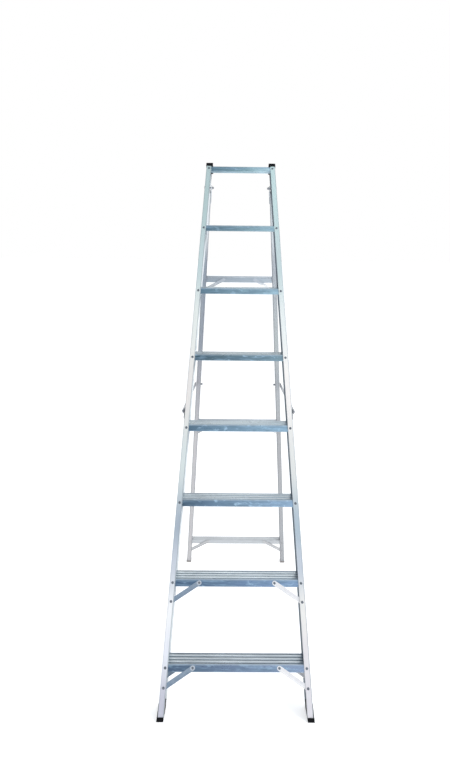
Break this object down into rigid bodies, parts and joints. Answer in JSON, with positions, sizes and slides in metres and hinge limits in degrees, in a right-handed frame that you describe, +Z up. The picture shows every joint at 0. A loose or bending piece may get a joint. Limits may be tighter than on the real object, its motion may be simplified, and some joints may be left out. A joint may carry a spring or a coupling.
{
  "type": "stepladder",
  "caption": "Single-sided aluminium A-frame stepladder with level ribbed treads, a slim rear support frame and folding side spreaders.",
  "frame": {"origin": "middle of the outline on the floor", "axes": "+Z up, +X to the climber's right when facing the treads, +Y from the treads towards the rear legs"},
  "size_m": [0.5944, 1.5185, 2.1667],
  "materials": {
    "anodised_stile": "satin anodised",
    "anodised_tread": "satin anodised",
    "anodised_rear": "satin anodised",
    "anodised_brace": "satin anodised",
    "black_plastic": "moulded",
    "grey_rubber": "moulded",
    "zinc_steel": "zinc plated",
    "dark_steel": "dark plated"
  },
  "bodies": {
    "front_frame": {"front_stile_left": "anodised_stile", "front_stile_right": "anodised_stile", "tread_1": "anodised_tread", "tread_2": "anodised_tread", "tread_3": "anodised_tread", "tread_4": "anodised_tread", "tread_5": "anodised_tread", "tread_6": "anodised_tread", "tread_7": "anodised_tread", "top_bar": "anodised_tread", "top_cap_left": "black_plastic", "top_cap_right": "black_plastic", "front_foot_left": "black_plastic", "front_foot_right": "black_plastic", "tread_brace_lowest_left": "anodised_brace", "tread_brace_lowest_right": "anodised_brace", "tread_brace_second_left": "anodised_brace", "tread_brace_second_right": "anodised_brace", "tread_brace_rear_left": "anodised_brace", "tread_brace_rear_right": "anodised_brace", "hinge_bolt_left": "zinc_steel", "hinge_bolt_right": "zinc_steel", "hinge_nut_left": "zinc_steel", "hinge_nut_right": "zinc_steel", "spreader_bracket_left": "dark_steel", "spreader_bracket_right": "dark_steel", "spreader_front_bolt_left": "zinc_steel", "spreader_front_bolt_right": "zinc_steel"},
    "rear_frame": {"rear_leg_left": "anodised_rear", "rear_leg_right": "anodised_rear", "rear_bar_upper": "anodised_rear", "rear_bar_middle": "anodised_rear", "rear_bar_lower": "anodised_rear", "rear_brace_upper_left": "anodised_rear", "rear_brace_upper_right": "anodised_rear", "rear_brace_middle_left": "anodised_rear", "rear_brace_middle_right": "anodised_rear", "rear_brace_lower_left": "anodised_rear", "rear_brace_lower_right": "anodised_rear", "rear_foot_left": "grey_rubber", "rear_foot_right": "grey_rubber", "hinge_bracket_left": "dark_steel", "hinge_bracket_right": "dark_steel", "spreader_rear_nut_left": "zinc_steel", "spreader_rear_nut_right": "zinc_steel"},
    "spreader_front_link_left": {"spreader_front_link_left": "zinc_steel", "spreader_knuckle_pin_left": "zinc_steel"},
    "spreader_rear_link_left": {"spreader_rear_link_left": "zinc_steel", "spreader_rear_bolt_left": "zinc_steel"},
    "spreader_front_link_right": {"spreader_front_link_right": "zinc_steel", "spreader_knuckle_pin_right": "zinc_steel"},
    "spreader_rear_link_right": {"spreader_rear_link_right": "zinc_steel", "spreader_rear_bolt_right": "zinc_steel"}
  },
  "joints": [
    {"name": "rear_frame_fold", "type": "hinge", "parent": "front_frame", "child": "rear_frame", "pos_m": [0, 0.05913, 2.04979], "axis": [-1, 0, 0], "range_deg": [0, 36.5]},
    {"name": "spreader_front_pivot_left", "type": "hinge", "parent": "front_frame", "child": "spreader_front_link_left", "pos_m": [-0.22696, -0.30942, 1.06644], "axis": [0.9983, -0.0197, -0.0541], "range_deg": [0, 57.7]},
    {"name": "spreader_knuckle_left", "type": "hinge", "parent": "spreader_front_link_left", "child": "spreader_rear_link_left", "pos_m": [-0.22025, 0.05327, 1.0582], "axis": [-0.9983, 0.0197, 0.0541], "range_deg": [0, 169.2]},
    {"name": "spreader_front_pivot_right", "type": "hinge", "parent": "front_frame", "child": "spreader_front_link_right", "pos_m": [0.22696, -0.30942, 1.06644], "axis": [0.9983, 0.0197, 0.0541], "range_deg": [0, 57.7]},
    {"name": "spreader_knuckle_right", "type": "hinge", "parent": "spreader_front_link_right", "child": "spreader_rear_link_right", "pos_m": [0.22025, 0.05327, 1.0582], "axis": [-0.9983, -0.0197, -0.0541], "range_deg": [0, 169.2]}
  ],
  "couplings": [
    {"joint": "spreader_front_pivot_left", "follows": "rear_frame_fold", "ratio": 1.58},
    {"joint": "spreader_knuckle_left", "follows": "rear_frame_fold", "ratio": 4.633},
    {"joint": "spreader_front_pivot_right", "follows": "rear_frame_fold", "ratio": 1.58},
    {"joint": "spreader_knuckle_right", "follows": "rear_frame_fold", "ratio": 4.633}
  ]
}
